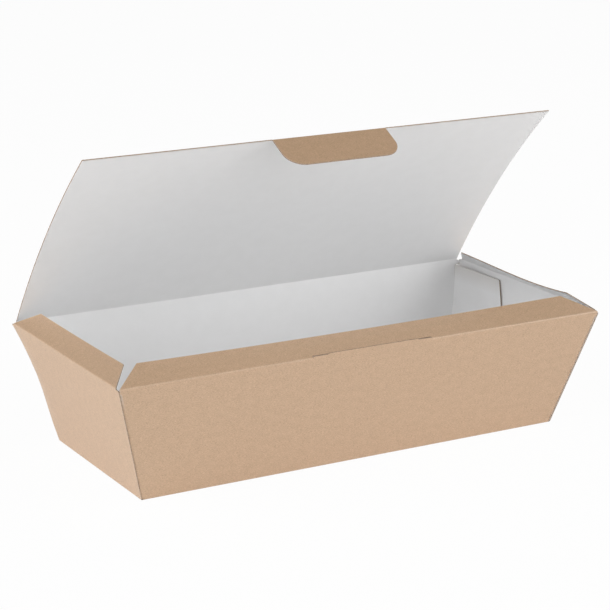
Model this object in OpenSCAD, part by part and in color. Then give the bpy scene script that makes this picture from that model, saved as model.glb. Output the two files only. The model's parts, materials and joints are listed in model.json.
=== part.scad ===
// Long folding food box in kraft board with a white lining. A tapered tray is glued up from one
// blank: the long walls carry glue tabs that turn the corners and lie inside the end walls.
// Three mitred flaps stand round the rim, and a lid hangs on the rear rim, with a tab along its
// free edge that tucks behind a tongue in the front crease. X runs along the box, the front
// faces -Y, and the underside of the base is at Z = 0. Sizes are taken at the board's middle.

/* [Tray] */
// Length of the base between its end creases
base_l = 217.5; // [170:0.5:300]
// Depth of the base between its long creases
base_d = 90; // [70:0.5:140]
// Height of the rim creases above the underside
height = 57; // [35:0.5:90]
// How far each end wall leans out, from base to rim
end_flare = 16.25; // [4:0.25:28]
// How far each long wall leans out, from base to rim
long_flare = 14.5; // [4:0.25:28]

/* [Board] */
// Thickness of the board
board = 0.5; // [0.3:0.05:0.8]
// Running gap round the folded root of a flap, the lid or the tab
fold_gap = 0.06; // [0.04:0.01:0.1]
// How much thinner than the board its round folds are
fold_ease = 0.04; // [0.02:0.01:0.08]
// Swell of the board along a glued corner, over its thickness
corner_swell = 0.1; // [0.04:0.02:0.2]
// How far the end walls' cut edges stand proud of the long walls
edge_proud = 0.15; // [0:0.05:0.5]

/* [Glue tabs] */
// Length of a glue tab along its top edge, from the corner
glue_l = 38; // [15:0.5:45]
// Drop from the rim crease to a glue tab's top edge
glue_drop = 3.2; // [1:0.1:8]
// Slope of a glue tab's end edge from square
glue_cut = 24; // [5:1:35]
// Height of a glue tab's lower edge above the base crease, at the corner
glue_foot = 2; // [1:0.5:6]
// Least space between the two glue tabs on one end wall
glue_space = 6; // [2:0.5:20]

/* [Flaps] */
// Width of the front flap
front_flap_w = 13.5; // [8:0.5:20]
// Width of the flaps at the two ends
end_flap_w = 11; // [8:0.5:20]
// How far the front flap's ends are cut back over its width
front_mitre = 13.4; // [8:0.1:24]
// How far the end flaps' ends are cut back over their width
end_mitre = 13.4; // [8:0.1:24]
// Gap between each end of a flap's root and the wall round the corner
corner_gap = 0.35; // [0.25:0.05:1.2]
// Angle of the front flap above the level of the rim
front_up = 28.5; // [0:0.5:80]
// Angle of the left flap above the level of the rim
left_up = 34; // [0:0.5:80]
// Angle of the right flap above the level of the rim
right_up = 38.5; // [0:0.5:80]
// How far below level the shut lid presses the flaps
flap_dip = 2.5; // [0:0.5:6]

/* [Lid] */
// How far the lid's side edges lie inside the rim's end creases
lid_inset = 3.3; // [1:0.1:10]
// Angle of the open lid above the level of the rim, from hinge to free edge
lid_up = 49.5; // [20:0.5:100]
// Bow of the lid: how far its sheet turns from hinge to free edge
lid_bow = 15; // [4:1:30]
// How far behind the front crease the closed lid's free edge lands
lid_back = 0.4; // [0.3:0.05:1]
// Height of the closed lid's free edge above the rim
lid_rest = 1; // [0.8:0.1:2]

/* [Tuck tab] */
// Length of the tab along the lid's free edge
tab_l = 59; // [30:0.5:100]
// Depth of the tab
tab_d = 19; // [10:0.5:28]
// Corner radius of the tab
tab_r = 9; // [2:0.5:10]
// Angle through which the tab is folded in from the open lid
tab_fold = 70; // [0:1:95]
// Angle through which it is folded in when the lid is shut
tab_shut = 98.5; // [96:0.5:105]

/* [Slit] */
// Play of the tab in its slit at each end
slit_play = 1.5; // [0.5:0.1:4]
// Width of the slit, and so about the height of the tongue cut out of it
slit_w = 1.2; // [1:0.1:2]
// Setback of the tongue's ends from the slit's ends
tongue_in = 7.5; // [3:0.5:12]
// Bevel on the tongue's two upper corners
tongue_bevel = 0.5; // [0.2:0.1:0.9]

/* [Hidden] */
kraft = [0.76, 0.64, 0.53];
lining = [0.86, 0.86, 0.86];

rim_l = base_l + 2 * end_flare;
rim_d = base_d + 2 * long_flare;
mid = board / 2;
rise = height - mid;

// Slant heights and leans of the walls
end_s = norm([end_flare, rise]);
long_s = norm([long_flare, rise]);
end_lean = atan(end_flare / rise);
long_lean = atan(long_flare / rise);

// The glue tabs lie one board inside the end walls, so the long walls stop short by this much
inset = board / cos(end_lean);
// and the corner creases come this much lower on the end walls' slope
inset_drop = board * tan(end_lean);

slit_l = tab_l + 2 * slit_play;
lid_w = rim_l - 2 * lid_inset;
front_root = rim_l - 2 * (mid / cos(end_lean) + corner_gap);
end_root = rim_d - 2 * (mid / cos(long_lean) + corner_gap);
front_part = (front_root - slit_l) / 2;

// The lid's sheet is an arc whose chord reaches from the rear crease to just behind the front one
chord = norm([rim_d - lid_back, lid_rest]);
bow_r = chord / (2 * sin(lid_bow / 2));
lid_start = 180 - lid_up - lid_bow / 2;
lid_end = lid_start + lid_bow;
bow_centre = [rim_d / 2 - bow_r * sin(lid_start), height + bow_r * cos(lid_start)];
tab_axis = bow_centre + bow_r * [sin(lid_end), -cos(lid_end)];

arc_fn = 720;
fold_fn = 32;
corner_fn = 64;

// A flat sheet of board with its middle in the XY plane
module sheet(outline) {
    linear_extrude(board, center = true) polygon(outline);
}

// A round fold along X, a hair thinner than the board it ends
module fold(length) {
    rotate([0, 90, 0]) cylinder(d = board - fold_ease, h = length, center = true, $fn = fold_fn);
}

// The seat that a round fold turns in, open at both ends
module seat(length) {
    rotate([0, 90, 0])
        cylinder(d = board + 2 * fold_gap, h = length + 2 * (corner_gap - fold_gap), center = true, $fn = fold_fn);
}

// A bevel for the sheet that folds over a root, cut where that sheet lies when it is shut.
// Placed as that sheet is, with its fold along X.
module shut_bevel(length) {
    reach = 4 * board;
    translate([0, reach / 2, 0])
        cube([length + 2 * (corner_gap - fold_gap), reach, board + 2 * fold_gap], center = true);
}

// The swollen fold of a glued corner, between two points
module corner_fold(p, q) {
    v = q - p;
    translate(p) rotate([0, acos(v.z / norm(v)), atan2(v.y, v.x)])
        cylinder(d = board + corner_swell, h = norm(v), $fn = fold_fn);
}

// Stands a sheet on a base crease: its X runs along the crease, Y up the wall and Z out of the box
module stood(turn, half, lean) {
    rotate([0, 0, turn]) translate([0, -half, mid]) rotate([90 + lean, 0, 0]) children();
}

// Hangs a sheet on a rim crease: its X runs along the crease and Y inwards, raised by an angle
module hung(turn, half, up) {
    rotate([0, 0, turn]) translate([0, -half, height]) rotate([up, 0, 0]) children();
}

function wall_outline(bottom, top, slant) = [
    [-bottom / 2, 0], [bottom / 2, 0], [top / 2, slant], [-top / 2, slant]
];

function flap_outline(root, mitre, width) = [
    [root / 2, 0], [root / 2 - mitre, width], [mitre - root / 2, width], [-root / 2, 0]
];

// Half the depth of the box at the corner crease, by slope distance up the end wall
function glue_half(s) = base_d / 2 + (s + inset_drop) * long_flare / end_s;
// A point on the corner crease at the right front, by slope distance up the end wall
function corner_point(s) =
    let (part = (s + inset_drop) / end_s)
    [base_l / 2 - inset + part * end_flare, -base_d / 2 - part * long_flare, mid + part * rise];

module long_wall(turn) {
    stood(turn, base_d / 2, long_lean)
        sheet(wall_outline(base_l - 2 * inset, rim_l - 2 * inset, long_s));
    stood(turn, base_d / 2, long_lean) fold(base_l - 2 * inset);
}

// The end walls reach over the long walls' outer faces, where their cut edges show
module end_wall(turn) {
    reach = 2 * (mid / cos(long_lean) + edge_proud);
    stood(turn, base_l / 2, end_lean)
        sheet(wall_outline(base_d + reach, rim_d + reach, end_s));
    stood(turn, base_l / 2, end_lean) fold(base_d - 2 * board);
}

// One glue tab against the inside of an end wall, seen from inside, with its corner to the right.
// Its sheet runs on to the middle of the wall, which it is glued to.
module glue_tab() {
    top = end_s - glue_drop;
    top_x = glue_half(top) - glue_l;
    low = max(2 * glue_foot, top - (top_x - glue_space / 2) / tan(glue_cut));
    translate([0, 0, -3 * mid]) linear_extrude(3 * mid)
        polygon([
            [glue_half(glue_foot), glue_foot],
            [glue_half(top), top],
            [top_x, top],
            [top_x - (top - low) * tan(glue_cut), low]
        ]);
}

module glued_corners() {
    for (turn = [-90, 90]) stood(turn, base_l / 2, end_lean) {
        glue_tab();
        mirror([1, 0, 0]) glue_tab();
    }
    for (x = [0, 1]) for (y = [0, 1]) mirror([x, 0, 0]) mirror([0, y, 0])
        corner_fold(corner_point(glue_foot), corner_point(end_s - glue_drop));
}

// The tongue is what the slit leaves standing on the front wall, above the crease
module tongue() {
    half = slit_l / 2 - tongue_in;
    top = long_s + slit_w - 2 * fold_gap;
    stood(0, base_d / 2, long_lean) sheet([
        [-half, long_s - slit_w], [half, long_s - slit_w],
        [half, top - tongue_bevel], [half - tongue_bevel, top],
        [tongue_bevel - half, top], [-half, top - tongue_bevel]
    ]);
}

// Puts a child at the root of the front flap on each side of the slit
module at_front_roots() {
    for (side = [-1, 1]) translate([side * (slit_l + front_part) / 2, 0, 0]) children();
}

module tray() color(kraft) {
    difference() {
        union() {
            translate([0, 0, mid]) cube([base_l, base_d, board], center = true);
            long_wall(0);
            long_wall(180);
            end_wall(90);
            end_wall(-90);
            glued_corners();
        }
        hung(0, rim_d / 2, -flap_dip) at_front_roots() seat(front_part);
        hung(0, rim_d / 2, -flap_dip) shut_bevel(front_root);
        hung(180, rim_d / 2, lid_bow / 2) {
            seat(lid_w);
            shut_bevel(lid_w);
        }
        for (turn = [-90, 90]) hung(turn, rim_l / 2, -flap_dip) {
            seat(end_root);
            shut_bevel(end_root);
        }
    }
    tongue();
}

module front_flap() color(kraft) hung(0, rim_d / 2, front_up) {
    difference() {
        sheet(flap_outline(front_root, front_mitre, front_flap_w));
        cube([slit_l, 2 * slit_w, 2 * board], center = true);
    }
    at_front_roots() fold(front_part);
}

module end_flap(turn, up) hung(turn, rim_l / 2, up) {
    sheet(flap_outline(end_root, end_mitre, end_flap_w));
    fold(end_root);
}

module left_flap() color(kraft) end_flap(-90, left_up);

module right_flap() color(kraft) end_flap(90, right_up);

module lid() color(lining) {
    difference() {
        translate([0, bow_centre[0], bow_centre[1]]) rotate([90, 0, 90])
            rotate([0, 0, lid_start - 90])
                rotate_extrude(angle = lid_bow, $fn = arc_fn)
                    translate([bow_r - mid, -lid_w / 2]) square([board, lid_w]);
        translate([0, tab_axis[0], tab_axis[1]]) rotate([lid_end + tab_shut, 0, 0]) {
            seat(tab_l);
            shut_bevel(tab_l);
        }
    }
    translate([0, rim_d / 2, height]) fold(lid_w);
}

module tuck_tab() color(kraft) {
    translate([0, tab_axis[0], tab_axis[1]]) rotate([lid_end + tab_fold, 0, 0]) {
        linear_extrude(board, center = true) {
            translate([-tab_l / 2, 0]) square([tab_l, tab_d - tab_r]);
            translate([tab_r - tab_l / 2, 0]) square([tab_l - 2 * tab_r, tab_d]);
            for (side = [-1, 1]) translate([side * (tab_l / 2 - tab_r), tab_d - tab_r])
                circle(tab_r, $fn = corner_fn);
        }
        fold(tab_l);
    }
}

tray();
front_flap();
left_flap();
right_flap();
lid();
tuck_tab();
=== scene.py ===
import json
import math

import bpy
import numpy as np
from mathutils import Matrix


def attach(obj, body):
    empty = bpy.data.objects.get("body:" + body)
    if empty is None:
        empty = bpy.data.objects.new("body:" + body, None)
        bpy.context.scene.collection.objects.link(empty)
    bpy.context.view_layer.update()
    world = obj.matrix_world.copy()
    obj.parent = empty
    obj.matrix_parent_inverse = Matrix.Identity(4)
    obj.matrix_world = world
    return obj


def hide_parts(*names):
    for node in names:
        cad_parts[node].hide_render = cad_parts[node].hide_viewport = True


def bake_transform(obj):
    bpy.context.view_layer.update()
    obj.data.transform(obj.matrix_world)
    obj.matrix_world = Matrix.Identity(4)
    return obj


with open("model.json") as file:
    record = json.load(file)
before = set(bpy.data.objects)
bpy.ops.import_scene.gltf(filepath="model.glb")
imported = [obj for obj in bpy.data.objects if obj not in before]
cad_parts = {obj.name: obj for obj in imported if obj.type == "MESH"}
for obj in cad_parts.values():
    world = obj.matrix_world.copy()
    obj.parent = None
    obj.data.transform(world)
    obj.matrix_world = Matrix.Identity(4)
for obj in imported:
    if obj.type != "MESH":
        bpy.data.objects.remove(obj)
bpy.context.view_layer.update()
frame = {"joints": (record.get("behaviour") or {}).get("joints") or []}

# A long folding food box in kraft board with a white lining, open as it is on the counter.
# Every panel is a sheet of board worked out as a grid of points at the board's middle, in
# millimetres, with a kraft face outside, a white face inside and a raw cut edge round it.
# Each fold is a small round bend. The flaps, the lid and the tab each hold the bend of their own fold, in
# place.

MM = 0.001

# Sizes of the blank, as in the part's source
BOARD = 0.5
BASE_L, BASE_D = 217.5, 90.0
GLUE_L, GLUE_DROP, GLUE_CUT, GLUE_FOOT, GLUE_SPACE = 38.0, 3.2, 24.0, 2.0, 6.0
FRONT_FLAP_W, END_FLAP_W = 13.5, 11.0
FRONT_MITRE, END_MITRE = 13.4, 13.4
EDGE_PROUD = 0.15
FRONT_UP, LEFT_UP, RIGHT_UP = 28.5, 34.0, 38.5
LID_INSET, LID_UP, LID_BOW = 3.3, 49.5, 15.0
TAB_L, TAB_D, TAB_R, TAB_FOLD = 59.0, 19.0, 9.0, 70.0
SLIT_W, SLIT_PLAY, TONGUE_IN, TONGUE_BEVEL = 1.2, 1.5, 7.5, 0.5
# Beside the tongue the wall's edge still stands this far above the crease, in front of the slit,
# and ends this far inside the slit's end
SHOULDER, SHOULDER_IN = 0.75, 0.2
# How far short of the corner the roots of the front flap and the end flaps stop, and where both
# flaps' straight outlines would start
FRONT_SHORT, END_SHORT, OUTLINE_SHORT = 0.5, 2.4, 0.61

# The rim's creases are where the frame's hinges are
HINGE = {j["name"]: np.array(j["pos_m"]) / MM for j in frame["joints"]}
RIM_L = 2 * HINGE["right_flap_fold"][0]
RIM_D = 2 * HINGE["lid_hinge"][1]
HEIGHT = HINGE["lid_hinge"][2]
TAB_AXIS = HINGE["tuck_tab_fold"][1:]

# Middle radius of the folds and of the glued corners, and how many steps each turns in
FOLD_R, CORNER_R, STEPS = 0.55, 0.4, 8
# Largest cell of a flat panel, the narrow cell beside each fold, and the first one past a lid's or
# a tab's fold
CELL, GUARD, FIRST_CELL = 9.0, 0.35, 4.0
# Edges that turn more than this many degrees are drawn sharp
SHARP = 40
# The blank's own coordinates have this many units to a millimetre
BLANK_UNIT = 0.01
# How far below a rim crease the tray ends and the piece that hangs on the crease begins, and how
# much further than its corner a long wall reaches above its glue tabs
SEAM, RIM_SPARE = 1.5, 0.2
# The lid has slipped sideways at its free edge and is wider at its root by this much a side. The
# flaps' free edges sag, the right one most towards the front
LID_SLIP, LID_WIDER = 1.3, 1.2
FRONT_SAG, LEFT_SAG, RIGHT_SAG, RIGHT_LEAN = 0.8, 0.3, 1.3, 0.8
# The rear corners are loosely folded. How far the back wall curls in and over what length, the
# same for the end walls' rear edges, and how far the glue tab stands off the end wall at the
# corner and at its end
CURL, CURL_LENGTH = 2.6, 18.0
END_CURL, END_CURL_LENGTH = 2.1, 14.0
STAND_OFF, STAND_END = 2.4, 0.5
# The share of the height where they are tight again, and the power that spreads the looseness
LOOSE_TOP, LOOSE_POWER = 0.98, 0.7

MID = BOARD / 2
RISE = HEIGHT - MID
LONG_FLARE, END_FLARE = (RIM_D - BASE_D) / 2, (RIM_L - BASE_L) / 2
LONG_S, END_S = math.hypot(LONG_FLARE, RISE), math.hypot(END_FLARE, RISE)
# Directions of a section's lines, in degrees above outwards
LONG_DIR = math.degrees(math.atan2(RISE, LONG_FLARE))
END_DIR = math.degrees(math.atan2(RISE, END_FLARE))
LONG_START = FOLD_R * math.tan(math.radians(LONG_DIR / 2))
END_START = FOLD_R * math.tan(math.radians(END_DIR / 2))
# The glue tabs lie one board inside the end walls
INSET = BOARD / math.sin(math.radians(END_DIR))
INSET_DROP = BOARD / math.tan(math.radians(END_DIR))
SLIT_HALF = TAB_L / 2 + SLIT_PLAY
TONGUE_HALF = SLIT_HALF - TONGUE_IN
TONGUE_TOP = LONG_S + SLIT_W + 0.12
END_REACH = MID / math.sin(math.radians(LONG_DIR)) + EDGE_PROUD
FRONT_ROOT, END_ROOT = RIM_L / 2 - FRONT_SHORT, RIM_D / 2 - END_SHORT
FRONT_TIP, END_TIP = RIM_L / 2 - OUTLINE_SHORT - FRONT_MITRE, RIM_D / 2 - OUTLINE_SHORT - END_MITRE
LID_HALF = RIM_L / 2 - LID_INSET

# The lid is an arc of a large circle, from the rear crease to the tab's fold
BOW_R = math.hypot(RIM_D / 2 - TAB_AXIS[0], TAB_AXIS[1] - HEIGHT) / 2 / math.sin(math.radians(LID_BOW / 2))
LID_START = 180 - LID_UP - LID_BOW / 2
LID_END = LID_START + LID_BOW
LID_LEN = BOW_R * math.radians(LID_BOW)
BOW_CENTRE = np.array([RIM_D / 2 - BOW_R * math.sin(math.radians(LID_START)),
                       HEIGHT + BOW_R * math.cos(math.radians(LID_START))])

# Glue tabs, on the end wall: slope distances of the top and low points, and the top's half depth
GLUE_TOP = END_S - GLUE_DROP
GLUE_X = BASE_D / 2 + (GLUE_TOP + INSET_DROP) / END_S * LONG_FLARE - GLUE_L
GLUE_TAN = math.tan(math.radians(GLUE_CUT))
GLUE_LOW = max(2 * GLUE_FOOT, GLUE_TOP - (GLUE_X - GLUE_SPACE / 2) / GLUE_TAN)

# Unit direction outwards on each side of the box
SIDES = {"front": (0, -1), "back": (0, 1), "left": (-1, 0), "right": (1, 0)}


# Finishes

def finish(name):
    """A new board finish: its node tree, its shader, and the blank's own coordinates."""
    material = bpy.data.materials.new(name)
    material.use_nodes = True
    tree = material.node_tree
    place = tree.nodes.new("ShaderNodeUVMap")
    place.uv_map = "blank"
    return material, tree, tree.nodes["Principled BSDF"], place.outputs["UV"]


def noise(tree, place, scale, detail=2.0, rough=0.5, stretch=(1, 1, 1)):
    """Noise on the blank. Its scale is in features per 100 mm, stretched along the board's grain."""
    laid = tree.nodes.new("ShaderNodeMapping")
    laid.inputs["Scale"].default_value = stretch
    grain = tree.nodes.new("ShaderNodeTexNoise")
    grain.inputs["Scale"].default_value = scale
    grain.inputs["Detail"].default_value = detail
    grain.inputs["Roughness"].default_value = rough
    tree.links.new(place, laid.inputs["Vector"])
    tree.links.new(laid.outputs["Vector"], grain.inputs["Vector"])
    return grain.outputs["Fac"]


def shades(tree, value, *stops):
    """A colour ramp over a value: each stop is (place, red, green, blue)."""
    ramp = tree.nodes.new("ShaderNodeValToRGB")
    ramp.color_ramp.interpolation = "EASE"
    steps = ramp.color_ramp.elements
    while len(steps) < len(stops):
        steps.new(0.5)
    for step, (at, *colour) in zip(steps, stops):
        step.position, step.color = at, (*colour, 1)
    tree.links.new(value, ramp.inputs["Fac"])
    return ramp.outputs["Color"]


def mixed(tree, kind, a, b, share):
    """Two colours mixed in one of the usual ways, the second by a share."""
    mix = tree.nodes.new("ShaderNodeMix")
    mix.data_type, mix.blend_type = "RGBA", kind
    mix.inputs["Factor"].default_value = share
    tree.links.new(a, mix.inputs["A"])
    tree.links.new(b, mix.inputs["B"])
    return mix.outputs["Result"]


def raised(tree, shader, value, strength, distance):
    """Bumps on a shader from a value."""
    bump = tree.nodes.new("ShaderNodeBump")
    bump.inputs["Strength"].default_value = strength
    bump.inputs["Distance"].default_value = distance * MM
    tree.links.new(value, bump.inputs["Height"])
    tree.links.new(bump.outputs["Normal"], shader.inputs["Normal"])


def near_cut_tint(tree, colour, pale):
    """A colour that goes towards another in the last third of a millimetre before a cut: a painted highlight
    on the kraft, and a greyer edge on the lining.
    """
    cut = tree.nodes.new("ShaderNodeAttribute")
    cut.attribute_name = "cut"
    mix = tree.nodes.new("ShaderNodeMix")
    mix.data_type = "RGBA"
    mix.inputs["B"].default_value = (*pale, 1)
    tree.links.new(cut.outputs["Fac"], mix.inputs["Factor"])
    tree.links.new(colour, mix.inputs["A"])
    return mix.outputs["Result"]


def kraft_finish():
    """Brown kraft liner: faint clouds of pulp, short fibres that lie mostly along the blank, and
    paler and darker flecks, with a fine tooth and the low sheen of calendered board."""
    material, tree, shader, place = finish("kraft_liner")
    cloud = noise(tree, place, 22, 4, 0.65, (1, 1.6, 1))
    colour = shades(tree, cloud, (0.3, 0.52, 0.345, 0.212), (0.7, 0.566, 0.381, 0.24))
    fibre = noise(tree, place, 95, 4, 0.75, (1, 3.2, 1))
    fibre_shade = shades(tree, fibre, (0.3, 0.32, 0.32, 0.32), (0.5, 0.5, 0.5, 0.5), (0.7, 0.68, 0.68, 0.68))
    colour = mixed(tree, "OVERLAY", colour, fibre_shade, 0.8)
    fleck = noise(tree, place, 210, 2, 0.6, (1, 1.8, 1))
    fleck_shade = shades(tree, fleck, (0.3, 0.3, 0.28, 0.26), (0.44, 0.5, 0.5, 0.5), (0.58, 0.5, 0.5, 0.5),
                         (0.72, 0.66, 0.66, 0.66))
    colour = mixed(tree, "OVERLAY", colour, fleck_shade, 0.8)
    # Painted highlight: the kraft goes paler in the last third of a millimetre before every cut, standing in
    # for the light that a cut's burr catches.
    tree.links.new(near_cut_tint(tree, colour, (0.62, 0.5, 0.4)), shader.inputs["Base Color"])
    shader.inputs["Roughness"].default_value = 0.45
    shader.inputs["Specular IOR Level"].default_value = 1.0
    raised(tree, shader, noise(tree, place, 240, 5, 0.7, (1, 2, 1)), 0.2, 0.05)
    return material


def lining_finish():
    """White coated lining: almost even, with a faint cloud and a smoother face than the kraft."""
    material, tree, shader, place = finish("white_lining")
    cloud = noise(tree, place, 14, 5, 0.6)
    colour = shades(tree, cloud, (0.3, 0.86, 0.86, 0.862), (0.7, 0.874, 0.874, 0.877))
    # The lining goes greyer in the last third of a millimetre before every cut.
    tree.links.new(near_cut_tint(tree, colour, (0.74, 0.72, 0.7)), shader.inputs["Base Color"])
    shader.inputs["Roughness"].default_value = 0.55
    shader.inputs["Specular IOR Level"].default_value = 0.4
    raised(tree, shader, noise(tree, place, 160, 4, 0.6), 0.1, 0.03)
    return material


def edge_finish():
    """Raw cut edge: the brown and grey plies that a die has crushed, streaked along the cut."""
    material, tree, shader, place = finish("raw_cut_edge")
    streak = noise(tree, place, 120, 3, 0.6)
    colour = shades(tree, streak, (0.35, 0.32, 0.23, 0.165), (0.65, 0.46, 0.35, 0.265))
    tree.links.new(colour, shader.inputs["Base Color"])
    shader.inputs["Roughness"].default_value = 0.9
    shader.inputs["Specular IOR Level"].default_value = 0.2
    raised(tree, shader, noise(tree, place, 300, 3, 0.6), 0.3, 0.05)
    return material


BOARD_FINISH = (kraft_finish(), lining_finish(), edge_finish())


# Shapes
# A strip of board runs outwards from the middle of the box, up a wall and on over its flap or the
# lid. Its section is (out, up), and its width runs along the crease. The kraft face is outside.

def turned(angle):
    """The unit direction at an angle in degrees, in the plane of a section."""
    a = np.radians(angle)
    return np.stack([np.cos(a), np.sin(a)], -1)


def bend(corner, come, go):
    """A round fold in a section: an arc from the direction come (degrees) to the direction go,
    tangent to both lines through the corner. Each point is the arc's centre plus the fold's radius
    times a unit direction. Returns the points, and the length from the corner to where the arc
    starts, which is the radius times the tangent of half the turn."""
    turn = go - come
    start = FOLD_R * math.tan(math.radians(abs(turn) / 2))
    side = 90 if turn > 0 else -90
    centre = np.array(corner) - start * turned(come) + FOLD_R * turned(come + side)
    return centre + FOLD_R * turned(np.linspace(come, go, STEPS + 1) - side), start


def spread(*stops):
    """Even steps between the stops, no longer than a cell, with every stop."""
    runs = [np.linspace(a, b, max(1, math.ceil(abs(b - a) / CELL)) + 1)[1:]
            for a, b in zip(stops, stops[1:])]
    return np.concatenate([[stops[0]], *runs])


def guarded(*stops):
    """The same, with a narrow cell at each end, where a flat panel meets a round fold."""
    return spread(stops[0], stops[0] + GUARD, *stops[1:-1], stops[-1] - GUARD, stops[-1])


def columns(fixed=(0,), count=10):
    """Places across a strip, as (constant, share of the strip's half width). Within the fixed
    places they are constant. Outside them they open out with the strip, with a narrow last cell."""
    inner = spread(*sorted({-f for f in fixed} | set(fixed)))
    share = np.linspace(0, 1, count + 1)[1:-1]
    const = np.concatenate([fixed[-1] * (1 - share), [-GUARD, 0]])
    scale = np.concatenate([share, [1, 1]])
    return np.concatenate([-const[::-1], inner, const]), np.concatenate([-scale[::-1], 0 * inner, scale])


def across(places, half):
    """The columns' distances from the strip's middle, for each row's half width."""
    return places[0] + np.outer(half, places[1])


def placed(side, out, up, along):
    """Turns a section's out and up, and the distance along the crease, into points of the box."""
    ox, oy = SIDES[side]
    return np.stack([out * ox + along * oy, out * oy - along * ox, up + 0 * along], -1)


def laid(side, out, along):
    """The same for the blank laid flat, with out as the length along the board."""
    return placed(side, out, 0 * out, along)[..., :2]


def board(name, parts):
    """A closed mesh of board. Each part is (points, blank, kept, seam): a grid of points at the
    board's middle, the same grid laid flat on the blank, which of its cells are there, and which
    points lie where another part goes on. Each point gives two, half the board's thickness to
    each side along the mean normal of its kept cells, and a raw edge joins them round the
    outline. The cut attribute is 1 on the outline, apart from the seams, and 0 inside it."""
    points, faces, slots, blanks, cuts = [], [], [], [], []
    count = 0
    for mid, blank, kept, seam in parts:
        wide, shift = mid.shape[1], mid.shape[0] * mid.shape[1]
        rows, cols = np.nonzero(kept)
        first = rows * wide + cols
        cell = np.stack([first, first + wide, first + wide + 1, first + 1], 1)
        flat = mid.reshape(-1, 3)
        a, b, c, d = (flat[cell[:, k]] for k in range(4))
        facing = np.cross(c - a, d - b)
        facing /= np.linalg.norm(facing, axis=1, keepdims=True)
        normal = np.zeros_like(flat)
        for k in range(4):
            np.add.at(normal, cell[:, k], facing)
        normal /= np.maximum(np.linalg.norm(normal, axis=1, keepdims=True), 1e-9)
        near = np.concatenate([cell[:, [k, (k + 1) % 4]] for k in range(4)])
        lone = ~np.isin(near[:, 0] * shift + near[:, 1], near[:, 1] * shift + near[:, 0])
        p, q = near[lone].T
        edge = np.stack([q, p, p + shift, q + shift], 1)
        cut = np.zeros(shift)
        cut[p] = 1
        cuts.append(np.tile(cut * ~seam.ravel(), 2))
        faces.append(np.concatenate([cell, cell[:, ::-1] + shift, edge]) + count)
        slots.append(np.repeat([0, 1, 2], [len(cell), len(cell), len(edge)]))
        points += [flat + normal * MID, flat - normal * MID]
        blanks.append(np.tile(blank.reshape(-1, 2), (2, 1)))
        count += 2 * shift
    points, faces = np.concatenate(points), np.concatenate(faces)
    used, packed = np.unique(faces, return_inverse=True)
    packed = packed.reshape(-1, 4)
    mesh = bpy.data.meshes.new(name)
    mesh.from_pydata((points[used] * MM).tolist(), [], packed.tolist())
    mesh.polygons.foreach_set("material_index", np.concatenate(slots).astype(np.int32))
    spots = np.concatenate(blanks)[faces.ravel()] * BLANK_UNIT
    mesh.uv_layers.new(name="blank").data.foreach_set("uv", spots.ravel())
    mesh.attributes.new("cut", "FLOAT", "POINT").data.foreach_set("value", np.concatenate(cuts)[used])
    mesh.shade_smooth()
    mesh.set_sharp_from_angle(angle=math.radians(SHARP))
    for material in BOARD_FINISH:
        mesh.materials.append(material)
    piece = bpy.data.objects.new(name, mesh)
    bpy.context.scene.collection.objects.link(piece)
    return piece


def glue_length(height):
    """How far a glue tab reaches from its corner, by share of the wall's height: its end edge
    slopes away from the corner down to the low point, and its lower edge comes back to the foot."""
    s = height * END_S - INSET_DROP
    end = GLUE_X - (GLUE_TOP - s) * GLUE_TAN
    low_x = GLUE_X - (GLUE_TOP - GLUE_LOW) * GLUE_TAN
    foot = low_x + (GLUE_LOW - s) / (GLUE_LOW - GLUE_FOOT) * (BASE_D / 2 - low_x)
    reach = BASE_D / 2 + height * LONG_FLARE - np.where(s > GLUE_LOW, end, foot)
    return np.maximum(reach, 2 * CORNER_R)


def long_reach(height):
    """Half the length of a long wall's middle at its corner creases, by share of its height."""
    return BASE_L / 2 - INSET + height * END_FLARE


def looseness(height):
    """How loose a rear corner is, by share of the wall's height: the sine of half a turn over the
    height, raised to a power. It is nothing at the foot and at the rim."""
    return np.sin(np.clip(height / LOOSE_TOP, 0, 1) * math.pi) ** LOOSE_POWER


LONG_COLUMNS = columns((TONGUE_HALF, SLIT_HALF))
# Half lengths of the walls at their seams
LONG_SEAM = long_reach(1 - SEAM / LONG_S) + RIM_SPARE
END_SEAM = BASE_D / 2 + END_REACH + (1 - SEAM / END_S) * LONG_FLARE


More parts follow.
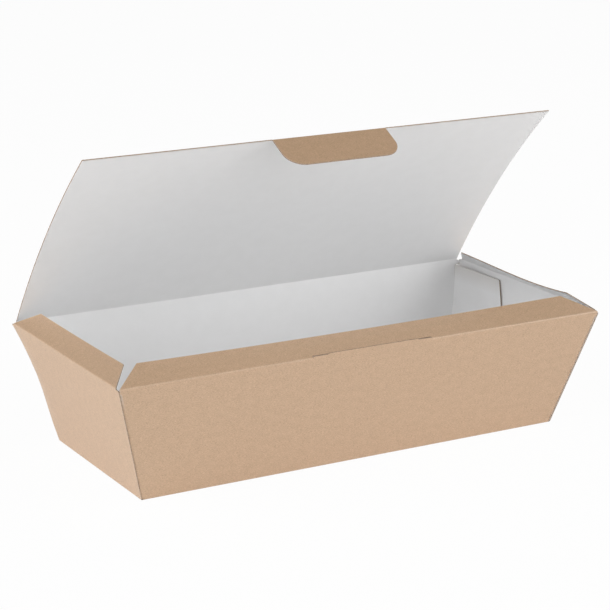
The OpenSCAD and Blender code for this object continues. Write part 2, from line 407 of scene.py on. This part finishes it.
def long_wall(side, over=()):
    """Half the base, the wall and the glue tabs at its two ends, as one grid. Up the wall, its
    half length grows in a straight line with height. Each tab turns its corner on a quarter
    circle in plan. over holds rows above the seam, as (slope distance, half length kept)."""
    fold, start = bend((BASE_D / 2, MID), 0, LONG_DIR)
    base = guarded(0, BASE_D / 2 - start)[:-1]
    marks = [(s + INSET_DROP) / END_S for s in (GLUE_FOOT, GLUE_LOW, GLUE_TOP)]
    slope = guarded(start, *(m * LONG_S for m in marks), marks[2] * LONG_S + 0.15, LONG_S - SEAM)[1:]
    below = len(base) + len(fold) + len(slope)
    slope = np.concatenate([slope, [s for s, _ in over]])
    out = np.concatenate([base, fold[:, 0], BASE_D / 2 + slope / LONG_S * LONG_FLARE])
    up = np.concatenate([0 * base + MID, fold[:, 1], MID + slope / LONG_S * RISE])
    run = np.concatenate([base, BASE_D / 2 + np.linspace(-start, start, STEPS + 1), BASE_D / 2 + slope])
    height = (up - MID) / RISE
    loose = (side == "back") * looseness(height)
    loose_tab = (side == "back") * np.clip(height * 2, 0, 1) * (height < marks[2] + 1e-6)
    reach = long_reach(height) - STAND_OFF * loose_tab
    half = reach - CORNER_R
    foot = len(base) + STEPS
    half[:len(base)] = BASE_L / 2 - END_START
    half[len(base):foot + 1] = np.linspace(half[0], half[foot], STEPS + 1)

    x = across(LONG_COLUMNS, half)
    if over:
        x[-1] = np.clip(x[-1], TONGUE_BEVEL - TONGUE_HALF, TONGUE_HALF - TONGUE_BEVEL)
    quarter = np.radians(np.linspace(0, 90, STEPS + 1)[1:])
    share = np.concatenate([[0.01], np.linspace(0, 1, 8)[1:-1], [0.99, 1]])
    tab = np.outer(glue_length(height) - CORNER_R, share)
    turn = np.tile(CORNER_R * quarter, (len(out), 1))
    side_x = half[:, None] + CORNER_R * np.concatenate([np.sin(quarter), 0 * share + 1])
    side_x[:, STEPS:] += (STAND_OFF - STAND_END) * np.outer(loose_tab, 1 - (1 - share) ** 2)
    side_run = half[:, None] + np.concatenate([turn, turn[:, -1:] + tab], 1)
    back = np.concatenate([CORNER_R * (1 - np.cos(turn / CORNER_R)), CORNER_R + tab], 1)
    above = height > marks[2] + 1e-6
    back[above, :STEPS] = 0
    side_x[above, :STEPS] = half[above, None] + (CORNER_R + RIM_SPARE) * quarter / quarter[-1]
    along = np.concatenate([-side_x[:, ::-1], x, side_x], 1)
    inward = np.concatenate([back[:, ::-1], 0 * x, back], 1)
    inward += CURL * loose[:, None] * np.clip(1 - (half[:, None] - np.abs(along)) / CURL_LENGTH, 0, 1) ** 2
    along_run = np.concatenate([-side_run[:, ::-1], x, side_run], 1)
    mid = placed(side, out[:, None] - inward, up[:, None], along)
    blank = laid(side, run[:, None] + 0 * along, along_run)

    kept = np.zeros((len(out) - 1, along.shape[1] - 1), bool)
    extra = side_x.shape[1]
    kept[:below - 1, extra:-extra] = True
    low, high = height[:-1] + 1e-6, height[1:] - 1e-6
    walls = np.arange(len(low)) < below - 1
    corner = (low > height[foot]) & ((high < marks[2]) | above[:-1]) & walls
    for rows, width in ((corner, STEPS), ((low > marks[0]) & (high < marks[2]), extra)):
        kept[np.ix_(rows, np.r_[extra - width:extra])] = True
        kept[np.ix_(rows, np.r_[kept.shape[1] - extra:kept.shape[1] - extra + width])] = True
    middle = np.abs(x[0, 1:] + x[0, :-1]) / 2
    for k, (_, inside) in enumerate(over):
        kept[below - 1 + k, extra:-extra] = middle < inside
    seam = np.zeros(along.shape, bool)
    seam[below - 1:] = seam[:foot + 1] = True
    return mid, blank, kept, seam


def end_wall(side):
    """An end wall from its base crease to the seam. It reaches over the long walls' outer faces,
    so its half depth grows with height from just over the base's. Towards its rear edge it comes
    in with the loose glue tab, by the square of the distance, most at half its height."""
    fold, start = bend((BASE_L / 2, MID), 0, END_DIR)
    slope = guarded(start, END_S - SEAM)[1:]
    out = np.concatenate([fold[:, 0], BASE_L / 2 + slope / END_S * END_FLARE])
    up = np.concatenate([fold[:, 1], MID + slope / END_S * RISE])
    run = BASE_L / 2 + np.concatenate([np.linspace(-start, start, STEPS + 1), slope])
    half = BASE_D / 2 + END_REACH + (up - MID) / RISE * LONG_FLARE
    half[:STEPS + 1] = np.linspace(BASE_D / 2 - LONG_START, half[STEPS], STEPS + 1)
    along = across(columns(count=18), half)
    height = np.clip((up - MID) / RISE, 0, 1)
    slack = END_CURL * looseness(height) * np.clip(height * 2, 0, 1)
    rearward = -along * SIDES[side][0]
    inward = slack[:, None] * np.clip(1 - (half[:, None] - rearward) / END_CURL_LENGTH, 0, 1) ** 2
    mid = placed(side, out[:, None] - inward, up[:, None], along)
    seam = np.zeros(along.shape, bool)
    seam[0] = seam[-1] = True
    kept = np.ones((len(out) - 1, along.shape[1] - 1), bool)
    return mid, laid(side, run[:, None] + 0 * along, along), kept, seam


def hung(side, corner, come, go, beyond, before_run):
    """The section of a strip that hangs on a crease: a short way along the sheet before it, the
    round fold, and the lengths beyond. Returns out, up, the length from the crease and the blank's
    length, and the two ends of the fold."""
    fold, start = bend(corner, come, go)
    before = np.array([-SEAM, -start - GUARD])
    after = np.concatenate([[start + GUARD], beyond])
    line = np.concatenate([before, np.linspace(-start, start, STEPS + 1), after])
    section = np.concatenate([np.array(corner) + before[:, None] * turned(come), fold,
                              np.array(corner) + after[:, None] * turned(go)])
    ends = [placed(side, *(np.array(corner) + s * turned(a)), 0.0) * MM
            for s, a in ((-start, come), (start, go))]
    return section[:, 0], section[:, 1], line, before_run + line, ends


def first_row(grid):
    """The points of a hung strip that lie on its seam, which is its first row."""
    seam = np.zeros(grid.shape[:2], bool)
    seam[0] = True
    return seam


def flap(side, up_angle, root, tip, width, seam_half, sag, places, slit=0, lean=0):
    """A rim flap with mitred ends: its half length shrinks in a straight line from root to tip over
    its width. Its free edge sags by sag times a parabola along its length, leaning to one end, and
    the square of the distance from the crease. Cells nearer the middle than slit are left out up
    to the slit's width."""
    half_out, wall_s, wall_dir, half_base = SIDE_FACTS[side]
    out, up, line, run, ends = hung(side, (half_out, HEIGHT), wall_dir, 180 - up_angle,
                                    guarded(SLIT_W, width), half_base + wall_s)
    half = np.interp(line, [-SEAM, line[1], line[2], 0, width], [seam_half, seam_half, root, root, tip])
    along = across(places, half)
    t = along / half[:, None]
    drop = sag * np.clip(line, 0, None)[:, None] ** 2 / width ** 2 * (1 - t * t) * (1 + lean * t)
    mid = placed(side, out[:, None] + 0 * along, up[:, None] - drop, along)
    kept = np.ones((len(line) - 1, along.shape[1] - 1), bool)
    kept[np.ix_(line[1:] < SLIT_W + 1e-6, np.abs(along[0, 1:] + along[0, :-1]) / 2 < slit)] = False
    seam = first_row(mid)
    seam[np.ix_(line < SLIT_W + 1e-6, np.abs(along[0]) < slit + 1e-6)] = True
    return (mid, laid(side, run[:, None] + 0 * along, along), kept, seam), ends


SIDE_FACTS = {
    "front": (RIM_D / 2, LONG_S, LONG_DIR, BASE_D / 2),
    "left": (RIM_L / 2, END_S, END_DIR, BASE_L / 2),
    "right": (RIM_L / 2, END_S, END_DIR, BASE_L / 2),
}


def lid_sheet():
    """The lid: past its crease, each row lies on the large circle at the lid's start angle plus
    its length over the radius. It slips sideways in proportion to that length. The tab's root is
    left out at the free edge."""
    beyond = np.append(spread(FIRST_CELL, LID_LEN - SEAM), LID_LEN)
    out, up, line, run, ends = hung("back", (RIM_D / 2, HEIGHT), LONG_DIR, LID_START, beyond,
                                    BASE_D / 2 + LONG_S)
    bowed = line > line[2 + STEPS]
    angle = np.radians(LID_START) + line[bowed] / BOW_R
    out[bowed] = BOW_CENTRE[0] + BOW_R * np.sin(angle)
    up[bowed] = BOW_CENTRE[1] - BOW_R * np.cos(angle)
    half = np.interp(line, [-SEAM, line[1], LID_LEN], [LONG_SEAM, LID_HALF + LID_WIDER, LID_HALF])
    along = across(columns((TAB_L / 2,)), half)
    mid = placed("back", out[:, None] + 0 * along, up[:, None], along)
    mid[..., 0] += LID_SLIP * np.clip(line / LID_LEN, 0, 1)[:, None]
    kept = np.ones((len(line) - 1, along.shape[1] - 1), bool)
    kept[-1, np.abs(along[0, 1:] + along[0, :-1]) / 2 < TAB_L / 2] = False
    seam = first_row(mid)
    seam[-2:, np.abs(along[0]) < TAB_L / 2 + 0.1] = True
    return (mid, laid("back", run[:, None] + 0 * along, along), kept, seam), ends


def tab_sheet():
    """The tab: its half length is constant, and then at each corner the radius times the cosine of
    an angle comes in as the radius times its sine goes out."""
    turn = np.radians(np.linspace(0, 90, 13))
    beyond = np.concatenate([spread(FIRST_CELL, TAB_D - TAB_R)[:-1], TAB_D - TAB_R + TAB_R * np.sin(turn)])
    out, up, line, run, ends = hung("back", TAB_AXIS, LID_END, LID_END + TAB_FOLD,
                                    beyond, BASE_D / 2 + LONG_S + LID_LEN)
    past = np.clip(line - (TAB_D - TAB_R), 0, TAB_R)
    half = TAB_L / 2 - TAB_R + np.sqrt(np.maximum(TAB_R ** 2 - past ** 2, 0))
    along = across(columns(), half)
    mid = placed("back", out[:, None] + 0 * along, up[:, None], along)
    mid[..., 0] += LID_SLIP
    kept = np.ones((len(line) - 1, along.shape[1] - 1), bool)
    return (mid, laid("back", run[:, None] + 0 * along, along), kept, first_row(mid)), ends


# The tray

def tray_parts():
    """The front and back halves meet along the middle of the base, and the end walls fold up from
    the base's two ends."""
    slit_rows = ((LONG_S - 0.1, SLIT_HALF), (LONG_S + SHOULDER, SLIT_HALF - SHOULDER_IN),
                 (TONGUE_TOP - TONGUE_BEVEL / 2, TONGUE_HALF), (TONGUE_TOP, TONGUE_HALF))
    front, back = long_wall("front", slit_rows), long_wall("back")
    joins = [(f[::-1, ::-1], b[1:] if k != 2 else b) for k, (f, b) in enumerate(zip(front, back))]
    return [tuple(np.concatenate(both) for both in joins), end_wall("left"), end_wall("right")]


def hang(name, sheet):
    """Makes the board mesh of a sheet that hangs on a crease, in place, and hides the part it stands for."""
    part, ends = sheet
    piece = board(name + "_board", [part])
    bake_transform(piece)
    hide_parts(name)


tray = board("tray_board", tray_parts())
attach(tray, "tray")
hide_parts("tray")

hang("front_flap", flap("front", FRONT_UP, FRONT_ROOT, FRONT_TIP, FRONT_FLAP_W, LONG_SEAM, FRONT_SAG,
                        columns((SLIT_HALF,)), SLIT_HALF))
hang("left_flap", flap("left", LEFT_UP, END_ROOT, END_TIP, END_FLAP_W, END_SEAM, LEFT_SAG, columns()))
hang("right_flap", flap("right", RIGHT_UP, END_ROOT, END_TIP, END_FLAP_W, END_SEAM, RIGHT_SAG, columns(), 0,
                        RIGHT_LEAN))
hang("lid", lid_sheet())
hang("tuck_tab", tab_sheet())


# Floor, camera and light

def plain_node(tree, kind, **values):
    """A node with some of its inputs set."""
    made = tree.nodes.new(kind)
    for name, value in values.items():
        made.inputs[name].default_value = value
    return made


def joined(tree, *pairs):
    """Links each source to its target."""
    for source, target in pairs:
        tree.links.new(source, target)


def background_rays(tree):
    """1 for the rays that see the background: from the camera, in mirrors and through glass."""
    rays = tree.nodes.new("ShaderNodeLightPath")
    largest = rays.outputs["Is Camera Ray"]
    for other in ("Is Glossy Ray", "Is Transmission Ray"):
        pick = tree.nodes.new("ShaderNodeMath")
        pick.operation = "MAXIMUM"
        joined(tree, (largest, pick.inputs[0]), (rays.outputs[other], pick.inputs[1]))
        largest = pick.outputs[0]
    return largest


def floor_finish():
    """Matt white that keeps a faint shadow, and that the camera sees almost as plain white. It
    gives the board the glow that a bright studio table sends up."""
    material = bpy.data.materials.new("plain_floor")
    material.use_nodes = True
    tree = material.node_tree
    tree.nodes.clear()
    matt = plain_node(tree, "ShaderNodeBsdfDiffuse", Color=(0.9, 0.9, 0.9, 1))
    white = plain_node(tree, "ShaderNodeEmission", Color=(1, 1, 1, 1), Strength=1.0)
    glow = plain_node(tree, "ShaderNodeEmission", Color=(1, 1, 1, 1), Strength=FLOOR_GLOW)
    lit = tree.nodes.new("ShaderNodeAddShader")
    faint = plain_node(tree, "ShaderNodeMixShader", Fac=FLOOR_WHITE)
    seen = tree.nodes.new("ShaderNodeMixShader")
    out = tree.nodes.new("ShaderNodeOutputMaterial")
    joined(tree, (matt.outputs[0], faint.inputs[1]), (white.outputs[0], faint.inputs[2]),
           (matt.outputs[0], lit.inputs[0]), (glow.outputs[0], lit.inputs[1]),
           (background_rays(tree), seen.inputs[0]), (lit.outputs[0], seen.inputs[1]),
           (faint.outputs[0], seen.inputs[2]), (seen.outputs[0], out.inputs["Surface"]))
    return material


def ceiling_finish():
    """The dark matt ceiling of the studio, which keeps the sheen off the faces that look up."""
    material = bpy.data.materials.new("dark_ceiling")
    material.use_nodes = True
    shader = material.node_tree.nodes["Principled BSDF"]
    shader.inputs["Base Color"].default_value = (*[CEILING_TONE] * 3, 1)
    shader.inputs["Roughness"].default_value = 1.0
    shader.inputs["Specular IOR Level"].default_value = 0.0
    return material


def stage_plane(name, height, material):
    """A level square of the studio."""
    bpy.ops.mesh.primitive_plane_add(size=STAGE_SIZE, location=(0, 0, height))
    plane = bpy.context.object
    plane.name = name
    plane.data.materials.append(material)


def studio_world():
    """White to the camera, and in mirrors and glass. As light on the board it is faint, and a
    little brighter at the horizon than above."""
    world = bpy.data.worlds.new("studio")
    world.use_nodes = True
    tree = world.node_tree
    tree.nodes.clear()
    where = tree.nodes.new("ShaderNodeTexCoord")
    axes = tree.nodes.new("ShaderNodeSeparateXYZ")
    fall = plain_node(tree, "ShaderNodeMapRange", **{"From Max": 0.9, "To Min": SKY_LOW, "To Max": SKY_HIGH})
    room = plain_node(tree, "ShaderNodeBackground", Color=(1, 1, 1, 1))
    white = plain_node(tree, "ShaderNodeBackground", Color=(1, 1, 1, 1), Strength=1.0)
    seen = tree.nodes.new("ShaderNodeMixShader")
    out = tree.nodes.new("ShaderNodeOutputWorld")
    joined(tree, (where.outputs["Generated"], axes.inputs[0]), (axes.outputs["Z"], fall.inputs["Value"]),
           (fall.outputs["Result"], room.inputs["Strength"]), (background_rays(tree), seen.inputs[0]),
           (room.outputs[0], seen.inputs[1]), (white.outputs[0], seen.inputs[2]),
           (seen.outputs[0], out.inputs["Surface"]))
    bpy.context.scene.world = world


def axes_at(azimuth, elevation):
    """The directions to the right, up and back of what looks at the box from an azimuth from the
    front and an elevation, in degrees."""
    a, e = math.radians(azimuth), math.radians(elevation)
    right = np.array([math.cos(a), math.sin(a), 0.0])
    back = np.array([math.sin(a) * math.cos(e), -math.cos(a) * math.cos(e), math.sin(e)])
    return right, np.cross(back, right), back


def stand(name, data, location, axes):
    """Puts a lamp or the camera in the scene, turned so that its own axes lie along these."""
    made = bpy.data.objects.new(name, data)
    made.location = location
    made.rotation_mode = "QUATERNION"
    made.rotation_quaternion = Matrix(np.stack(axes, 1).tolist()).to_quaternion()
    bpy.context.scene.collection.objects.link(made)
    return made


def lamp(name, azimuth, elevation, power):
    """A square soft light that faces the box."""
    data = bpy.data.lights.new(name, "AREA")
    data.shape, data.size, data.energy = "SQUARE", LAMP_SIZE, power
    axes = axes_at(azimuth, elevation)
    stand(name, data, LAMP_AIM + axes[2] * LAMP_FAR, axes)


FLOOR_WHITE, FLOOR_GLOW = 0.965, 0.17
SKY_LOW, SKY_HIGH = 0.05, 0.0
STAGE_SIZE, FLOOR_AT, CEILING_AT, CEILING_TONE = 12.0, -0.0002, 2.3, 0.1
# The lamps: azimuth from the front, elevation and watts
LAMP_AIM, LAMP_FAR, LAMP_SIZE = np.array([0.0, 0.0, 0.05]), 1.6, 2.0
LAMPS = (
    ("left_low", -95.0, 10.0, 21.0),
    ("left_high", -95.0, 35.0, 12.5),
    ("front_low", 10.0, 10.0, 13.2),
    ("right_front", 60.0, 20.0, 24.0),
)
# The camera: azimuth from the front, elevation, lens on a 36 mm sensor, and where it stands
VIEW_AZ, VIEW_EL, LENS = -29.42, 15.5, 123.82
VIEW_X, VIEW_Y, VIEW_FAR = -0.00139, 0.06043, 1.00376

studio_world()
stage_plane("floor", FLOOR_AT, floor_finish())
stage_plane("ceiling", CEILING_AT, ceiling_finish())
for facts in LAMPS:
    lamp(*facts)

right, up, back = view = axes_at(VIEW_AZ, VIEW_EL)
camera = stand("camera", bpy.data.cameras.new("camera"),
               VIEW_X * right + VIEW_Y * up + VIEW_FAR * back, view)
camera.data.lens, camera.data.sensor_width = LENS, 36.0
bpy.context.scene.camera = camera
bpy.context.scene.view_settings.view_transform = "Standard"
